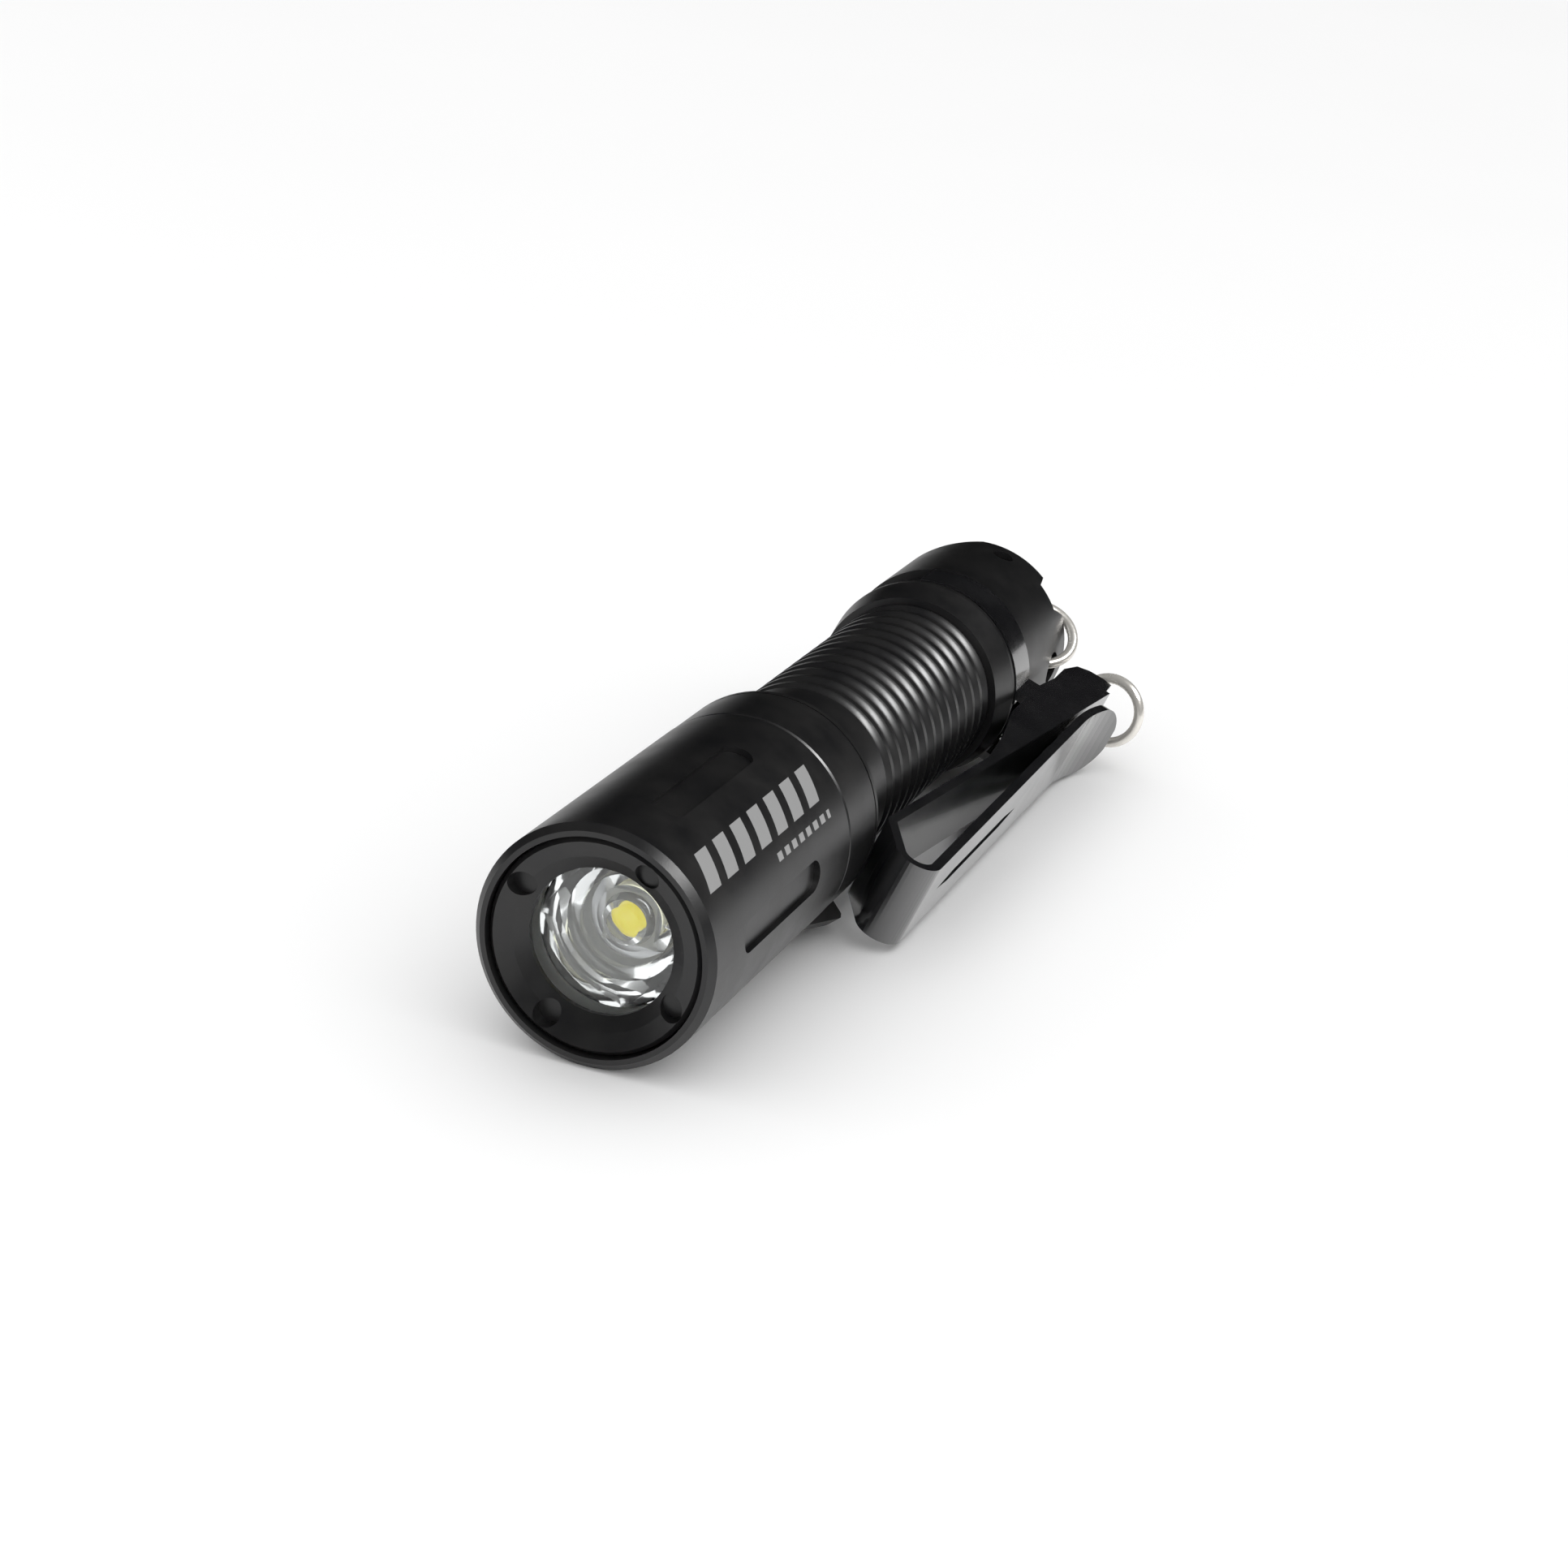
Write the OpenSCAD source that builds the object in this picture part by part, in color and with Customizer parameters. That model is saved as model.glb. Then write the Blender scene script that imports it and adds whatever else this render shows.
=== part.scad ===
/* [Head] */
// Radius of the head barrel and of the whole widest part
head_r = 8; // [7.6:0.1:8.6]
// Distance from the front rim to the seam behind the barrel
seam_z = 24.5; // [23.5:0.5:25.5]
// Distance from the front rim to the head's rear edge
head_len = 30.5; // [30:0.5:31.5]
// Radius of the clear front window that shows inside the retaining ring
window_r = 4.8; // [4.4:0.1:5.1]
// Number of shallow pockets round the barrel
pocket_count = 5; // [3:1:6]
// Width of a barrel pocket
pocket_w = 2.2; // [1.6:0.1:2.4]
// Front end of the barrel pockets
pocket_front = 5; // [4.5:0.5:7]
// Rear end of the barrel pockets
pocket_rear = 18.6; // [16:0.2:20]

/* [Body tube] */
// Radius of the smooth neck and of the ribs
neck_r = 6.72; // [6.6:0.02:6.9]
// Number of grip ribs
rib_count = 12; // [8:1:14]
// Distance from the middle of one rib to the next
rib_pitch = 1.9; // [1.7:0.05:2]
// Depth of the grooves between the ribs
rib_depth = 0.42; // [0.3:0.02:0.5]

/* [Tail] */
// Radius of the tail
tail_r = 7.7; // [7.5:0.1:7.8]
// Overall length of the torch, without the rings
torch_len = 78.4; // [78.2:0.1:79]
// Depth of the two finger cut-outs in the rear crown
cutout_depth = 1.8; // [1:0.1:2]

/* [Clip] */
// Width of the clip's spring leaf
clip_w = 6.4; // [5.8:0.2:6.6]
// Thickness of the clip's sheet steel
clip_t = 0.7; // [0.6:0.05:0.75]
// Turn of the clip round the torch, from the right-hand side towards the floor
clip_turn = 20.6; // [19:0.1:21]

/* [Rings] */
// Wire diameter of both rings
wire_d = 0.84; // [0.7:0.02:0.9]

/* [Hidden] */

$fn = 96;

// Colours
black_metal = [0.07, 0.07, 0.075];
black_rubber = [0.1, 0.1, 0.1];
board_green = [0.1, 0.35, 0.2];
brass_gold = [0.8, 0.65, 0.3];
steel_grey = [0.8, 0.8, 0.82];

// Distances below run along the torch's axis from the front rim, and radii are from the axis.
barrel_r = head_r - 0.8;          // inside of the front barrel
ring_seat = 3.2;                  // depth of the retaining ring's seat
optic_top = 3.3;                  // front face of the optic's flange
led_z = 8.6;                      // face of the LED board
pill_z = led_z + 1.2;             // front of the metal pill under the LED board
driver_z = 15.6;                  // front of the driver board
charge_z = seam_z;                // front of the charging board
socket_z = charge_z + 0.6;        // front of the charging socket
socket_h = 2.7;                   // thickness of the charging socket
core_r = head_r - 1;              // seat of the port sleeve
core_front = 14.4;                // front end of the head core
core_rear = 36.0;                 // rear end of the head core
board_r = 6.2;                    // radius of the round boards
thread_r = 6.0;                   // outside of the tube's two plug ends
fit = 0.08;                       // radial clearance of a running fit
tube_bore = 5.35;
rib_start = 37.35;                // middle of the first rib
tube_end = 60.2;                  // rear end of the tube's visible part
seal_z = [34.4, 62];              // seals at the tube's front and rear
tail_front = 60.35;
tail_edge = 63.4;                 // where the tail reaches its full radius
groove_front = 63.8;              // clip groove in the tail
groove_len = 3.9;
groove_r = tail_r - 0.65;
recess_z = torch_len - 5.9;       // floor of the rear recess
recess_r = 6;
cell_r = 5.0;
cell_front = 29.1;                // shoulder of the cell, behind its raised contact
cell_rear = 69.1;
pin_end = 28.05;                  // rear tip of the head's contact pin

// Angles round the axis, from the +X side towards the floor.
pocket_mid = -41;
notch_mid = 28.6;
socket_turn = 157;
ridge_turn = 49.6;
window_turn = 93;
cutout_turn = 48.6;
ring_hole_turn = 4.6;             // hole that carries the lanyard ring
ring_hole_z = torch_len - 3.48;
side_hole_turn = -74.4;
side_hole_z = torch_len - 2.2;
rim_notch_turn = -37.4;

// Each wire ring: its centre, the direction it faces, and the radius to the middle of its wire.
lanyard_ring_mid_r = 2.8;
lanyard_ring_c = [5.906, -1.439, torch_len - 1.845];
lanyard_ring_n = [0.3493, -0.775, -0.5266];
// The key ring's are measured from the clip: outwards, across the clip, and along the axis.
key_ring_mid_r = 2.62;
key_ring_c = [12.976, -0.906, 76.668];
key_ring_n = [0.188, 0.072, 0.98];
ring_tab = [11.57, 1.3, 76.78];   // hole of the tab that holds the key ring

// Lies the torch on its side, its axis along +Y from the front rim to the tail, and centres it.
module place() {
    translate([-(reach_x - head_r) / 2, -reach_y / 2, head_r]) rotate([-90, 0, 0]) children();
}

// A ring-shaped solid of rectangular section.
module tube(r_out, r_in, z0, z1) {
    rotate_extrude() translate([r_in, z0]) square([r_out - r_in, z1 - z0]);
}

module disc(r, z0, z1) {
    translate([0, 0, z0]) cylinder(r = r, h = z1 - z0);
}

// A wire ring with its centre and normal given.
module wire_ring(centre, normal, mid) {
    n = normal / norm(normal);
    translate(centre)
        rotate([0, acos(n[2]), atan2(n[1], n[0])])
            rotate_extrude() translate([mid, 0]) circle(d = wire_d, $fn = 32);
}

// ---------------------------------------------------------------- head

// One round-ended pocket, cut into the barrel along its axis.
module barrel_pocket() {
    floor_r = head_r - 0.45;
    translate([floor_r, 0, pocket_front + pocket_w / 2]) rotate([0, 90, 0]) cylinder(d = pocket_w, h = 2);
    translate([floor_r, 0, pocket_rear - pocket_w / 2]) rotate([0, 90, 0]) cylinder(d = pocket_w, h = 2);
    translate([floor_r, -pocket_w / 2, pocket_front + pocket_w / 2])
        cube([2, pocket_w, pocket_rear - pocket_front - pocket_w]);
}

module head_shell() {
    rim = 0.45;
    color(black_metal) difference() {
        rotate_extrude() polygon([
            [barrel_r, 0], [head_r - rim, 0], [head_r, rim], [head_r, seam_z - 0.15],
            [head_r - 0.15, seam_z], [core_r - 0.35, seam_z], [core_r - 0.35, core_front - 0.2],
            [6.9, core_front - 0.2], [6.9, ring_seat], [barrel_r, ring_seat]
        ]);
        for (i = [0:pocket_count - 1])
            rotate([0, 0, pocket_mid + 36 + i * 360 / pocket_count]) barrel_pocket();
    }
}

module retaining_ring() {
    outer = barrel_r - 0.12;
    color(black_metal) difference() {
        rotate_extrude() polygon([
            [outer - 0.3, 0.25], [outer, 0.55], [outer, 2.2], [window_r + 0.5, 2.2],
            [window_r, 1.7], [window_r, 1.35], [window_r + 0.9, 0.75]
        ]);
        for (i = [0:3]) rotate([0, 0, notch_mid + 90 * i])
            translate([window_r + 1.15, 0, 0]) cylinder(r = 0.85, h = 1.35);
    }
}

module front_glass() {
    color([0.85, 0.9, 0.92, 0.4]) disc(6.8, 2.25, 3.2);
}

module front_o_ring() {
    color(black_rubber) rotate_extrude() translate([6.4, optic_top + 0.36]) circle(r = 0.32, $fn = 32);
}

// The clear collimator: a flange, a cone that widens forward, and a pocket for the LED.
module optic() {
    color([0.9, 0.92, 0.95, 0.4]) rotate_extrude() polygon([
        [0, optic_top], [5.9, optic_top], [5.9, optic_top + 0.7], [5.0, optic_top + 0.7],
        [4.5, 5.2], [3.8, 6.4], [3.0, 7.4], [2.2, led_z - 0.7], [1.75, led_z - 0.7],
        [1.5, 6.6], [1.1, 6.3], [0, 6.05]
    ]);
}

module optic_holder() {
    color([0.85, 0.85, 0.85]) rotate_extrude() polygon([
        [6.6, 4.1], [6.6, led_z], [2.6, led_z], [2.6, led_z - 0.6], [3.2, 7.5], [4.0, 6.5],
        [4.7, 5.25], [5.2, 4.1]
    ]);
}

module led_base() {
    color([0.9, 0.9, 0.88]) translate([-1.75, -1.75, led_z - 0.55]) cube([3.5, 3.5, 0.55]);
}

module led_chip() {
    color([0.9, 0.8, 0.1]) disc(1.3, led_z - 0.75, led_z - 0.55);
}

module led_dome() {
    color([0.95, 0.95, 0.8, 0.4]) difference() {
        translate([0, 0, led_z - 0.55]) sphere(r = 1.6);
        disc(2, led_z - 0.55, led_z + 2);
        disc(1.35, led_z - 0.8, led_z);
    }
}

module led_board() {
    color([0.75, 0.75, 0.75]) disc(6.6, led_z, pill_z);
}

// Solid metal that takes the LED's heat, hollow behind for the driver's parts.
module led_pill() {
    color([0.7, 0.7, 0.72]) rotate_extrude() polygon([
        [0, pill_z], [6.75, pill_z], [6.75, core_front - 0.6], [6.2, core_front - 0.6],
        [6.2, driver_z], [5.5, driver_z], [5.5, pill_z + 2], [0, pill_z + 2]
    ]);
}

module driver_board() {
    color(board_green) disc(board_r, driver_z, driver_z + 0.8);
}

module driver_parts() {
    color([0.15, 0.15, 0.15]) {
        translate([-1.5, -2.2, driver_z - 1.4]) cube([3, 4.4, 1.4]);
        translate([2.2, -1, driver_z - 1.1]) cube([1.6, 2, 1.1]);
        translate([-3.9, -1.2, driver_z - 0.9]) cube([1.4, 2.4, 0.9]);
    }
}

module board_spacer() {
    color(brass_gold) tube(board_r, 5.5, driver_z + 0.8, charge_z);
}

module charge_board() {
    color(board_green) difference() {
        disc(board_r, charge_z, socket_z);
        disc(1.4, charge_z - 1, socket_z + 1);
    }
}

// The charging socket's steel shell, open outwards.
module charge_socket() {
    color(steel_grey) rotate([0, 0, socket_turn]) translate([1.75, 0, socket_z]) difference() {
        translate([0, -3.75, 0]) cube([4, 7.5, socket_h]);
        translate([0.4, -3.45, 0.3]) cube([6, 6.9, socket_h - 0.6]);
    }
}

module socket_tongue() {
    color(black_rubber) rotate([0, 0, socket_turn]) {
        translate([2.15, -2, socket_z + 1.05]) cube([3.4, 4, 0.6]);
    }
}

// Carries the sleeve outside, the boards inside, and the thread for the tube behind.
module head_core() {
    color(black_metal) difference() {
        rotate_extrude() polygon([
            [board_r + 0.05, core_front], [core_r - 0.4, core_front], [core_r - 0.4, seam_z + 0.1],
            [core_r, seam_z + 0.1], [core_r, head_len - 0.55], [head_r - 0.03, head_len - 0.55],
            [head_r - 0.03, head_len - 0.15], [head_r - 0.2, head_len], [neck_r + 0.2, head_len + 0.15],
            [neck_r, head_len + 0.4], [neck_r, core_rear - 0.2], [neck_r - 0.2, core_rear],
            [thread_r + fit, core_rear], [thread_r + fit, 30.6], [5.45, 30.6],
            [5.45, socket_z + socket_h + 0.1], [board_r + 0.05, socket_z + socket_h + 0.1]
        ]);
        rotate([0, 0, socket_turn]) translate([4, -3.95, socket_z - 0.15]) cube([5, 7.9, socket_h + 0.2]);
    }
}

module core_o_ring() {
    color(black_rubber) rotate_extrude() translate([6.42, core_front - 0.3]) circle(r = 0.2, $fn = 32);
}

// Turns round the core to uncover the charging socket. Its ridge is the thumb catch.
module port_sleeve() {
    front = seam_z + 0.1;
    rear = head_len - 0.65;
    color(black_metal) difference() {
        union() {
            rotate_extrude() polygon([
                [core_r + 0.08, front], [head_r - 0.15, front], [head_r - 0.03, front + 0.15],
                [head_r - 0.03, rear - 0.08], [head_r - 0.1, rear], [core_r + 0.08, rear]
            ]);
            rotate([0, 0, ridge_turn]) rotate([90, 0, 0]) linear_extrude(1.1, center = true)
                polygon([[7.5, front + 0.1], [8.1, front + 0.1], [9.2, rear - 1], [9.3, rear - 0.5],
                    [9.1, rear - 0.1], [7.5, rear - 0.1]]);
        }
        rotate([0, 0, window_turn]) translate([5, -4.3, socket_z - 0.35])
            cube([6, 8.6, socket_h + 0.7]);
    }
}

module contact_pin() {
    color(brass_gold) {
        disc(1.0, driver_z + 0.8, pin_end - 0.3);
        translate([0, 0, pin_end - 0.3]) cylinder(r1 = 1.0, r2 = 0.7, h = 0.3);
    }
}

module contact_insulator() {
    color([0.2, 0.2, 0.2]) tube(1.4, 1.0, charge_z, 27.2);
}

// ---------------------------------------------------------------- body tube and cell

module body_tube() {
    front = 31;
    rear = 70.5;
    color(black_metal) difference() {
        rotate_extrude() polygon([
            [tube_bore, front], [thread_r - 0.3, front], [thread_r, front + 0.3],
            [thread_r, core_rear + 0.15], [neck_r - 0.15, core_rear + 0.15],
            [neck_r, core_rear + 0.3], [neck_r, tube_end - 0.15], [neck_r - 0.15, tube_end],
            [thread_r, tube_end], [thread_r, rear - 0.3], [thread_r - 0.3, rear], [tube_bore, rear]
        ]);
        // Grooves between the ribs
        for (i = [0:rib_count]) rotate_extrude()
            translate([neck_r + 0.8 - rib_depth, rib_start + (i - 0.5) * rib_pitch])
                circle(r = 0.8, $fn = 32);
        // Grooves for the two seals
        for (z = seal_z) rotate_extrude() translate([thread_r - 0.25, z]) circle(r = 0.28, $fn = 32);
    }
}

module tube_seal(z) {
    color(black_rubber) rotate_extrude() translate([thread_r - 0.25, z]) circle(r = 0.25, $fn = 32);
}

module body_o_ring() {
    tube_seal(seal_z[0]);
}

module tail_o_ring() {
    tube_seal(seal_z[1]);
}

module cell_can() {
    color(steel_grey) rotate_extrude() polygon([
        [0, cell_front + 0.3], [3.4, cell_front + 0.3], [3.4, cell_front], [4.8, cell_front],
        [cell_r, cell_front + 0.2], [cell_r, cell_rear - 0.2], [4.8, cell_rear], [0, cell_rear]
    ]);
}

module cell_cap() {
    color(steel_grey) disc(2.2, cell_front - 1.0, cell_front + 0.3);
}

module cell_washer() {
    color([0.9, 0.9, 0.9]) tube(3.35, 2.25, cell_front - 0.1, cell_front + 0.3);
}

module cell_wrapper() {
    color([0.15, 0.3, 0.55]) tube(cell_r + 0.12, cell_r, cell_front + 0.25, cell_rear - 0.25);
}

// ---------------------------------------------------------------- tail

module cutout_cylinder(turn) {
    rotate([0, 0, turn]) translate([0, 0, torch_len + 9 - cutout_depth])
        rotate([0, 90, 0]) cylinder(r = 9, h = 12);
}

// A small notch in the crown's rim, wider at its mouth, where the lanyard ring rests.
module rim_notch() {
    rotate([90, 0, 90]) linear_extrude(12)
        polygon([
            [-1.1, torch_len - 1.75], [1.2, torch_len - 1.75],
            [2.2, torch_len + 0.1], [-1.5, torch_len + 0.1]
        ]);
}

module tail_cap() {
    floor_z = recess_z - 1.1;
    color(black_metal) difference() {
        rotate_extrude() polygon([
            [thread_r + fit, tail_front], [tail_r - 0.5, tail_front], [tail_r, tail_edge],
            [tail_r, groove_front], [groove_r, groove_front], [groove_r, groove_front + groove_len],
            [tail_r, groove_front + groove_len], [tail_r, torch_len - 0.35], [tail_r - 0.35, torch_len],
            [recess_r + 0.3, torch_len], [recess_r, torch_len - 0.3], [recess_r, recess_z], [0, recess_z],
            [0, floor_z], [5.35, floor_z], [5.35, 70.6], [thread_r + fit, 70.6]
        ]);
        cutout_cylinder(cutout_turn);
        cutout_cylinder(cutout_turn + 180);
        rotate([0, 0, ring_hole_turn]) translate([-12, 0, ring_hole_z])
            rotate([0, 90, 0]) cylinder(r = 1.3, h = 24);
        rotate([0, 0, side_hole_turn]) translate([-12, 0, side_hole_z])
            rotate([0, 90, 0]) cylinder(r = 0.85, h = 24);
        rotate([0, 0, rim_notch_turn]) rim_notch();
        rotate([0, 0, rim_notch_turn + 180]) rim_notch();
    }
}

module contact_disc() {
    color(brass_gold) disc(4.6, recess_z - 1.4, recess_z - 1.1);
}

// A conical coil pressed flat, drawn as stacked rings of wire that touch.
module tail_spring() {
    wire = 0.3;
    step = (recess_z - 1.4 - cell_rear - 2 * wire) / 3;
    color(brass_gold) for (i = [0:3]) translate([0, 0, cell_rear + wire + i * step])
        rotate_extrude() translate([2.1 + 0.3 * i, 0]) circle(r = wire, $fn = 24);
}

// ---------------------------------------------------------------- clip

// Points [z, h] on the middle of the clip's strip, h being the distance from the axis.
leaf_slope = 5.9;                 // lean of the inner leaf away from the torch
leaf_front = [32.1, 7.92];        // where the inner leaf is nearest the neck
foot_bend_r = 0.7;
slant = 149;                      // direction of the step over the head's edge
step_len = 3.5;                   // length of that step
nose_r = 1.4;                     // radius of the front bend
leaf_rear = 74.1;
flare_start = 66;

// Points of an arc that starts at p in direction a and turns by da degrees with radius r.
function arc_points(p, a, da, r, n) = let (s = sign(da), c = p + r * s * [-sin(a), cos(a)])
    [for (i = [1:n]) let (b = a + da * i / n) c - r * s * [-sin(b), cos(b)]];
function last(v) = v[len(v) - 1];
function heading(v) = [cos(v), sin(v)];

rear_point = leaf_front + heading(leaf_slope) * (leaf_rear - leaf_front[0]) / cos(leaf_slope);
foot_arc = arc_points(leaf_front, 180 + leaf_slope, slant - 180 - leaf_slope, foot_bend_r, 5);
step_end = last(foot_arc) + heading(slant) * step_len;
nose_arc = arc_points(step_end, slant, -slant, nose_r, 16);
outer_h = last(nose_arc)[1];
flare = arc_points([flare_start, outer_h], 0, 25, 18.3, 8);
strip_line = concat([rear_point, leaf_front], foot_arc, [step_end], nose_arc,
    [[flare_start, outer_h]], flare);

// Direction of the strip at point i, and the two sides of the strip.
function along(p, i) = let (a = p[max(i - 1, 0)], b = p[min(i + 1, len(p) - 1)]) (b - a) / norm(b - a);
function side(p, d) = [for (i = [0:len(p) - 1]) let (t = along(p, i)) p[i] + d * [-t[1], t[0]]];

tip_z = last(flare)[0];

// How far a wire ring reaches from its centre along a direction that makes this cosine with its normal.
function ring_reach(mid, c) = mid * sqrt(1 - c * c) + wire_d / 2;

// How far the key ring reaches sideways, and the lanyard ring along the axis.
key_side = [cos(clip_turn), -sin(clip_turn), 0];
reach_x = key_ring_c * key_side + ring_reach(key_ring_mid_r, key_ring_n * key_side / norm(key_ring_n));
reach_y = lanyard_ring_c[2] + ring_reach(lanyard_ring_mid_r, lanyard_ring_n[2] / norm(lanyard_ring_n));
strip_outline = concat(side(strip_line, clip_t / 2), [for (i = [len(strip_line) - 1:-1:0])
    side(strip_line, -clip_t / 2)[i]]);

// Turns a drawing with axes [z, h] into a plate of width w along the clip's width.
module clip_plate(w) {
    rotate([90, 0, 0]) linear_extrude(w, center = true) children();
}

module clip_strip() {
    clip_plate(clip_w) polygon([for (p = strip_outline) [p[1], p[0]]]);
}

// What is cut away outside the inner leaf to round the free tip of the outer one.
module clip_tip_cut() {
    centre_z = tip_z - clip_w / 2;
    intersection() {
        rotate([90, 0, 90]) linear_extrude(20) difference() {
            translate([-5, centre_z]) square([10, clip_w]);
            translate([0, centre_z]) circle(d = clip_w, $fn = 64);
        }
        clip_plate(12) polygon([
            [leaf_h(centre_z - 1) + 0.5, centre_z - 1], [leaf_h(tip_z + 4) + 0.5, tip_z + 4],
            [19, tip_z + 4], [19, centre_z - 1]
        ]);
    }
}

function leaf_h(z) = leaf_front[1] + (z - leaf_front[0]) * tan(leaf_slope);

// Long slot through the outer leaf, narrowing to a point at both ends.
module clip_slot() {
    rotate([90, 0, 90]) translate([0, 0, outer_h - 2]) linear_extrude(4)
        polygon([[0, 33], [0.45, 36], [0.45, 48.5], [0, 52], [-0.45, 48.5], [-0.45, 36]]);
}

// Side walls that bring the clamp down from the inner leaf to the groove.
module clip_wall() {
    clip_plate(clip_t) polygon([
        [leaf_h(48), 48], [9, 55], [8.1, 60], [8.1, 67.6], [8.5, 70.5], [8.5, 73.4],
        [9.1, 75.4], [10.1, 76], [11.4, 76.1], [12.2, 75.8], [leaf_h(74.1), 74.1]
    ]);
}

// One arm of the spring clamp: a leg down to the groove, then an arc round the tail.
module clip_arm() {
    arm_in = groove_r + 0.06;
    band = groove_len - 0.3;
    z0 = groove_front + 0.15;
    start = 16;
    rotate([0, 0, start]) rotate_extrude(angle = 118 - start) translate([arm_in, z0]) square([clip_t, band]);
    translate([arm_in - 0.2, clip_w / 2 - clip_t, z0]) cube([4.6, clip_t, band]);
}

// Tab that sticks out behind the clip's foot and holds the key ring.
module clip_ring_tab() {
    half = 1.45;
    thick = 0.6;
    root_z = 71;
    translate(ring_tab) rotate([0, 90, 0]) difference() {
        union() {
            cylinder(r = half, h = thick, center = true);
            translate([0, -half, -thick / 2]) cube([ring_tab[2] - root_z, 2 * half, thick]);
        }
        cylinder(r = 0.95, h = 2, center = true);
    }
}

module pocket_clip() {
    color(black_metal) rotate([0, 0, clip_turn]) difference() {
        union() {
            clip_strip();
            for (s = [-1, 1]) translate([0, s * (clip_w - clip_t) / 2, 0]) clip_wall();
            clip_arm();
            mirror([0, 1, 0]) clip_arm();
            clip_ring_tab();
        }
        clip_tip_cut();
        clip_slot();
    }
}

// ---------------------------------------------------------------- rings

module lanyard_ring() {
    color(steel_grey) wire_ring(lanyard_ring_c, lanyard_ring_n, lanyard_ring_mid_r);
}

module key_ring() {
    color(steel_grey) rotate([0, 0, clip_turn]) wire_ring(key_ring_c, key_ring_n, key_ring_mid_r);
}

place() head_shell();
place() retaining_ring();
place() front_glass();
place() front_o_ring();
place() optic();
place() optic_holder();
place() led_dome();
place() led_chip();
place() led_base();
place() led_board();
place() led_pill();
place() driver_board();
place() driver_parts();
place() board_spacer();
place() head_core();
place() core_o_ring();
place() charge_board();
place() charge_socket();
place() socket_tongue();
place() port_sleeve();
place() contact_pin();
place() contact_insulator();
place() body_tube();
place() body_o_ring();
place() cell_can();
place() cell_cap();
place() cell_washer();
place() cell_wrapper();
place() tail_cap();
place() tail_o_ring();
place() contact_disc();
place() tail_spring();
place() pocket_clip();
place() lanyard_ring();
place() key_ring();
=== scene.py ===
import math

import bpy
from mathutils import Matrix, Vector

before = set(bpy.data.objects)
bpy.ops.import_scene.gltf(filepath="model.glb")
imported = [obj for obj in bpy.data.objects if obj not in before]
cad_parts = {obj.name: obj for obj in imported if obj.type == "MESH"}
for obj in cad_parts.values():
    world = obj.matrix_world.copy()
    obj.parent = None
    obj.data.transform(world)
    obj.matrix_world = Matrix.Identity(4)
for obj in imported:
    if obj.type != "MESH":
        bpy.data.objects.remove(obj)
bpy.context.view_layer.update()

MM = 0.001

# The torch's axis runs along +Y at this X and Z, and its front rim is at this Y.
AXIS_X = -3.7355 * MM
AXIS_Z = 8.0 * MM
RIM_Y = -39.6775 * MM
HEAD_R = 8.0 * MM

# Printed rows on the barrel: angle round the axis in degrees, start and end from the rim in mm,
# half height, pitch, share of the pitch that is printed, and slant.
ROWS = [
    (-44, 2.4, 21.8, 1.25, 2.9, 0.62, 0.45),
    (-27, 12.2, 21.8, 0.28, 1.3, 0.6, 0.0),
]
PRINT_COLOUR = (0.3, 0.3, 0.3, 1)
PRINT_DEPTH = 0.05 * MM           # the print lies only this close to the barrel's full radius


# ---------------------------------------------------------------- materials

class Shader:
    """A material's node tree, with short ways to add and join nodes."""

    def __init__(self, name):
        self.mat = bpy.data.materials.new(name)
        self.mat.use_nodes = True
        self.tree = self.mat.node_tree
        self.tree.nodes.clear()
        out = self.tree.nodes.new("ShaderNodeOutputMaterial")
        self.bsdf = self.tree.nodes.new("ShaderNodeBsdfPrincipled")
        self.join(self.bsdf, "BSDF", out, "Surface")
        self.coord = self.tree.nodes.new("ShaderNodeTexCoord")

    def add(self, kind, **values):
        """A node of this kind. Values are its settings, or inputs with _ for a space."""
        node = self.tree.nodes.new("ShaderNode" + kind)
        for key, value in values.items():
            if hasattr(node, key):
                setattr(node, key, value)
            else:
                node.inputs[key.replace("_", " ")].default_value = value
        return node

    def join(self, a, out, b, inp):
        self.tree.links.new(a.outputs[out], b.inputs[inp])

    def set(self, **values):
        """Sets the surface shader's own inputs."""
        for key, value in values.items():
            self.bsdf.inputs[key.replace("_", " ")].default_value = value

    def noise(self, scale, detail):
        """Noise over the object's own coordinates, scale in cycles per metre."""
        n = self.add("TexNoise", Scale=scale, Detail=detail, Roughness=0.6)
        self.join(self.coord, "Object", n, "Vector")
        return n

    def ramp(self, src, lo, hi, a, b):
        """Maps the noise's lo to hi onto the colours a to b."""
        r = self.add("ValToRGB")
        first, second = r.color_ramp.elements
        first.position, second.position = lo, hi
        first.color = (*a, 1)
        second.color = (*b, 1)
        self.join(src, "Fac", r, "Fac")
        return r

    def range(self, src, lo, hi, a, b):
        """Maps the noise's lo to hi onto the numbers a to b."""
        r = self.add("MapRange", From_Min=lo, From_Max=hi, To_Min=a, To_Max=b)
        self.join(src, "Fac", r, "Value")
        return r

    def math(self, operation, *values):
        """A math node whose inputs are numbers or other nodes."""
        m = self.add("Math", operation=operation)
        for i, v in enumerate(values):
            if isinstance(v, (int, float)):
                m.inputs[i].default_value = v
            else:
                self.tree.links.new(v.outputs[0], m.inputs[i])
        return m

    def bump(self, src, distance, strength=1.0):
        b = self.add("Bump", Strength=strength, Distance=distance)
        self.join(src, "Fac", b, "Height")
        self.join(b, "Normal", self.bsdf, "Normal")


def grey(v):
    return (v, v, v)


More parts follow.
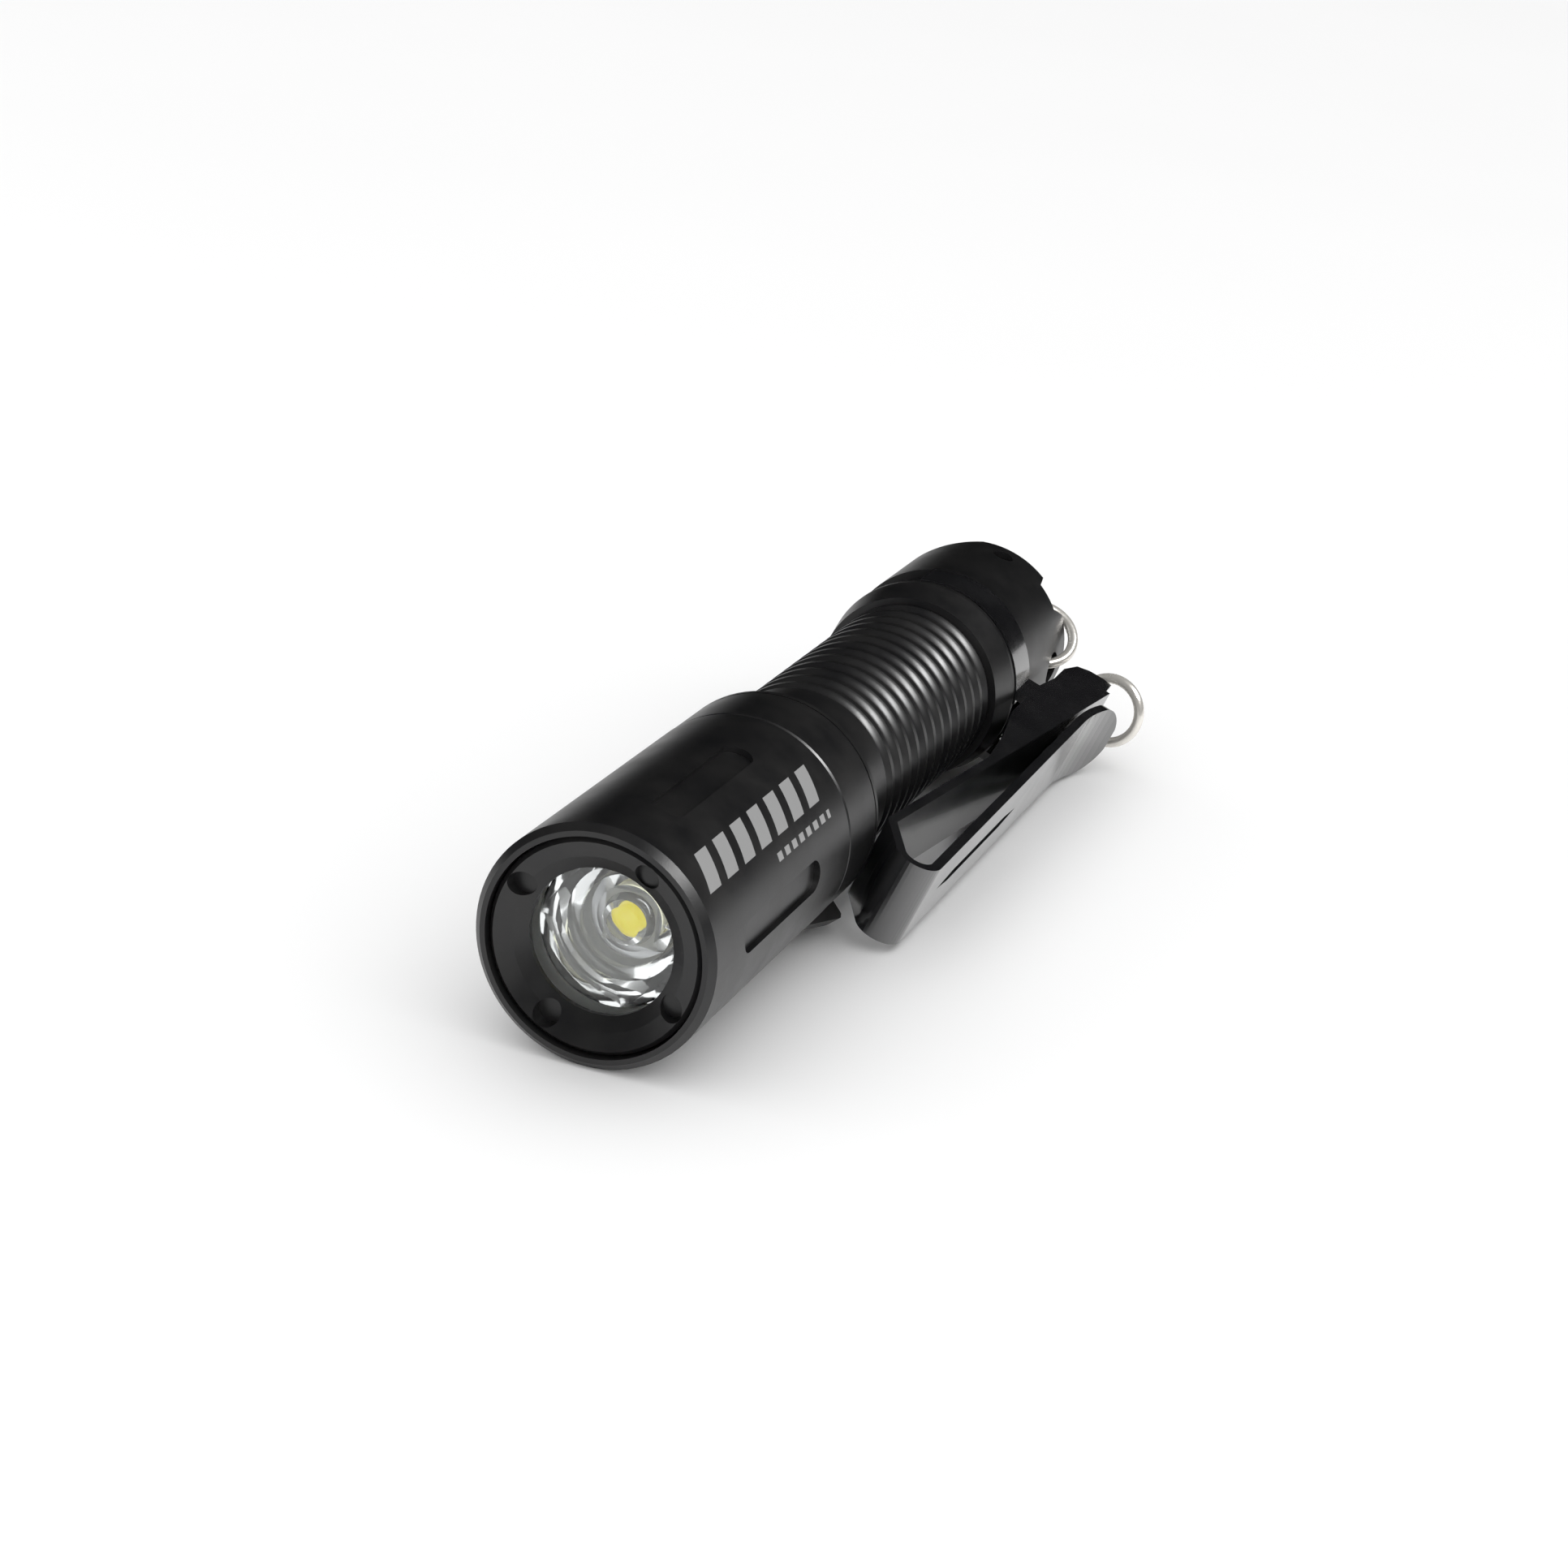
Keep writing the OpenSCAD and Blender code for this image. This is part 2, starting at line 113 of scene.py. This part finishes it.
def varied(name, dark, light, rough, metallic=0.0, grain=2500, wear=400, bump=0.00001, **extra):
    """A surface whose colour and roughness both vary, with a fine grain."""
    s = Shader(name)
    big = s.noise(wear, 5)
    fine = s.noise(grain, 3)
    s.join(s.ramp(big, 0.3, 0.7, dark, light), "Color", s.bsdf, "Base Color")
    s.join(s.range(big, 0.3, 0.7, *rough), "Result", s.bsdf, "Roughness")
    s.bump(fine, bump)
    s.set(Metallic=metallic, **extra)
    return s.mat


def printed_rows(s):
    """Mask of the printed rows on the barrel: slanted bars, and short dashes."""
    xyz = s.add("SeparateXYZ")
    s.join(s.coord, "Object", xyz, "Vector")

    def shifted_part(out, offset):
        m = s.add("Math", operation="ADD")
        s.join(xyz, out, m, 0)
        m.inputs[1].default_value = offset
        return m

    x = shifted_part("X", -AXIS_X)
    y = s.math("SUBTRACT", AXIS_Z, shifted_part("Z", 0.0))
    along = s.math("MULTIPLY", shifted_part("Y", -RIM_Y), 1 / MM)
    turn = s.math("ARCTAN2", y, x)
    radius = s.math("SQRT", s.math("ADD", s.math("MULTIPLY", x, x), s.math("MULTIPLY", y, y)))
    outside = s.math("GREATER_THAN", radius, HEAD_R - PRINT_DEPTH)
    rows = []
    for angle, start, end, half, pitch, share, slant in ROWS:
        off = s.math("SUBTRACT", turn, math.radians(angle))
        across = s.math("MULTIPLY", off, HEAD_R / MM)
        in_band = s.math("LESS_THAN", s.math("ABSOLUTE", across), half)
        leaning = s.math("ADD", along, s.math("MULTIPLY", across, slant))
        after = s.math("GREATER_THAN", leaning, start)
        before = s.math("LESS_THAN", leaning, end)
        step = s.math("FRACT", s.math("DIVIDE", s.math("SUBTRACT", leaning, start), pitch))
        bar = s.math("LESS_THAN", step, share)
        in_row = s.math("MULTIPLY", after, before)
        rows.append(s.math("MULTIPLY", s.math("MULTIPLY", in_band, bar), in_row))
    return s.math("MULTIPLY", s.math("MAXIMUM", *rows), outside)


def anodised(name, marked=False):
    """Bead-blasted black anodising: nearly black, satin, with a soft sheen."""
    s = Shader(name)
    big = s.noise(260, 5)
    fine = s.noise(9000, 2)
    black = s.ramp(big, 0.35, 0.65, (0.008, 0.008, 0.009), (0.014, 0.0135, 0.0135))
    if marked:
        mix = s.add("Mix", data_type="RGBA")
        s.join(printed_rows(s), "Value", mix, "Factor")
        # Inputs 6 and 7 and output 2 are the node's colour sockets.
        s.join(black, "Color", mix, 6)
        mix.inputs[7].default_value = PRINT_COLOUR
        s.join(mix, 2, s.bsdf, "Base Color")
    else:
        s.join(black, "Color", s.bsdf, "Base Color")
    s.join(s.range(big, 0.3, 0.7, 0.3, 0.38), "Result", s.bsdf, "Roughness")
    s.bump(fine, 0.000006, 0.5)
    s.set(Metallic=0.0, IOR=1.6, Specular_IOR_Level=0.35)
    return s.mat


def clear(name, tint, rough=0.0, ior=1.49):
    """A clear moulded or polished piece, very slightly uneven."""
    s = Shader(name)
    fine = s.noise(1500, 3)
    paler = tuple(min(1, c * 1.02) for c in tint)
    s.join(s.range(fine, 0.3, 0.7, rough, rough + 0.03), "Result", s.bsdf, "Roughness")
    s.join(s.ramp(fine, 0.3, 0.7, tint, paler), "Color", s.bsdf, "Base Color")
    s.set(IOR=ior, Transmission_Weight=1.0)
    return s.mat


BLACK = anodised("anodised_black")
HEAD_BLACK = anodised("anodised_marked", marked=True)
RUBBER = varied("rubber", grey(0.012), grey(0.03), (0.5, 0.7))
STEEL = varied("plated_steel", (0.55, 0.55, 0.56), (0.7, 0.7, 0.71), (0.2, 0.35), 1.0)
BRASS = varied("gold_plate", (0.7, 0.5, 0.2), (0.85, 0.65, 0.3), (0.2, 0.35), 1.0)
ALU = varied("bare_aluminium", (0.6, 0.6, 0.61), (0.75, 0.75, 0.76), (0.3, 0.45), 1.0)
BOARD = varied("solder_mask", (0.01, 0.09, 0.03), (0.02, 0.14, 0.05), (0.3, 0.45))
CHIPS = varied("moulded_black", grey(0.02), grey(0.05), (0.45, 0.6))
WHITE = varied("white_plastic", (0.62, 0.62, 0.6), (0.75, 0.75, 0.73), (0.35, 0.5))
PAPER = varied("paper", (0.7, 0.7, 0.68), (0.85, 0.85, 0.83), (0.7, 0.9))
FILM = varied("shrink_film", (0.02, 0.08, 0.25), (0.03, 0.11, 0.3), (0.2, 0.3))
CERAMIC = varied("led_ceramic", (0.75, 0.75, 0.7), (0.85, 0.85, 0.8), (0.3, 0.4))
RING = varied("polished_wire", (0.74, 0.71, 0.66), (0.84, 0.82, 0.77), (0.2, 0.3), 0.6, grain=4000)
CLIP = varied("black_steel", (0.008, 0.008, 0.009), (0.015, 0.015, 0.016), (0.12, 0.2),
              grain=6000, wear=300, bump=0.000003, IOR=2.1, Coat_Weight=0.6, Coat_Roughness=0.08)
# The chip's emission is a painted glow that brightens the yellow phosphor; the LED gives no light
# here.
YELLOW = varied("phosphor", (0.6, 0.5, 0.0), (0.7, 0.6, 0.0), (0.5, 0.6), grain=6000, wear=2500,
                Emission_Color=(0.85, 0.75, 0.0, 1), Emission_Strength=0.8)
GLASS = clear("window_glass", (0.97, 0.98, 0.98))
ACRYLIC = clear("optic_acrylic", (0.96, 0.97, 0.97), 0.02)
DOME = clear("dome_silicone", (0.97, 0.95, 0.7), 0.03, 1.41)

LOOKS = {
    "head_shell": HEAD_BLACK, "retaining_ring": BLACK, "front_glass": GLASS,
    "front_o_ring": RUBBER, "optic": ACRYLIC, "optic_holder": WHITE, "led_dome": DOME,
    "led_chip": YELLOW, "led_base": CERAMIC, "led_board": ALU, "led_pill": ALU,
    "driver_board": BOARD, "driver_parts": CHIPS, "board_spacer": BRASS, "head_core": BLACK,
    "core_o_ring": RUBBER, "charge_board": BOARD, "charge_socket": STEEL, "socket_tongue": CHIPS,
    "port_sleeve": BLACK, "contact_pin": BRASS, "contact_insulator": CHIPS, "body_tube": BLACK,
    "body_o_ring": RUBBER, "cell_can": STEEL, "cell_cap": STEEL, "cell_washer": PAPER,
    "cell_wrapper": FILM, "tail_cap": BLACK, "tail_o_ring": RUBBER, "contact_disc": BRASS,
    "tail_spring": BRASS, "pocket_clip": CLIP, "lanyard_ring": RING, "key_ring": RING,
}
for node_name, look in LOOKS.items():
    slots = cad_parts[node_name].data.materials
    slots.clear()
    slots.append(look)

# ---------------------------------------------------------------- stage and light

FLOOR_SIZE = 3.0
FLOOR_DROP = 0.02 * MM            # keeps the floor just under the torch
bpy.ops.mesh.primitive_plane_add(size=FLOOR_SIZE, location=(0, 0, -FLOOR_DROP))
floor = bpy.context.object
floor.name = "floor"
white = Shader("floor_white")
white.join(white.ramp(white.noise(3, 3), 0.3, 0.7, grey(0.86), grey(0.88)), "Color",
           white.bsdf, "Base Color")
white.set(Roughness=0.6)
floor.data.materials.append(white.mat)


def area(name, size, loc, target, power):
    """A rectangular light at loc that faces the target."""
    light = bpy.data.lights.new(name, "AREA")
    light.shape = "RECTANGLE"
    light.size, light.size_y = size
    light.energy = power
    obj = bpy.data.objects.new(name, light)
    bpy.context.scene.collection.objects.link(obj)
    obj.location = loc
    obj.rotation_euler = (Vector(target) - Vector(loc)).to_track_quat("-Z", "Y").to_euler()
    return obj


# A long light to the upper right: it only makes the highlights on ribs and edges.
key = area("key_light", (0.42, 0.12), (0.3, -0.06, 0.36), (0, 0.01, 0.008), 5.5)
key.visible_diffuse = False

world = bpy.data.worlds.new("studio")
world.use_nodes = True
background = world.node_tree.nodes["Background"]
background.inputs["Color"].default_value = (1, 1, 1, 1)
background.inputs["Strength"].default_value = 1.3
bpy.context.scene.world = world
# The black metal reflects the floor and the light, not the white all round.
world.cycles_visibility.glossy = False
bpy.context.scene.view_settings.view_transform = "Standard"

# ---------------------------------------------------------------- camera

cam = bpy.data.cameras.new("camera")
cam.sensor_width = 36
cam.lens = 73.62
cam.clip_start = 0.01
cam_obj = bpy.data.objects.new("camera", cam)
bpy.context.scene.collection.objects.link(cam_obj)
right = Vector((0.9308, 0.34959, 0.10673))
up = Vector((-0.21553, 0.28909, 0.93272))
back = Vector((0.29522, -0.89118, 0.34444))
rim_centre = Vector((AXIS_X, RIM_Y, AXIS_Z))
from_rim = Vector((66.0625, -166.3008, 77.5655)) * MM
turned = Matrix((right, up, back)).transposed().to_4x4()
cam_obj.matrix_world = Matrix.Translation(rim_centre + from_rim) @ turned
bpy.context.scene.camera = cam_obj
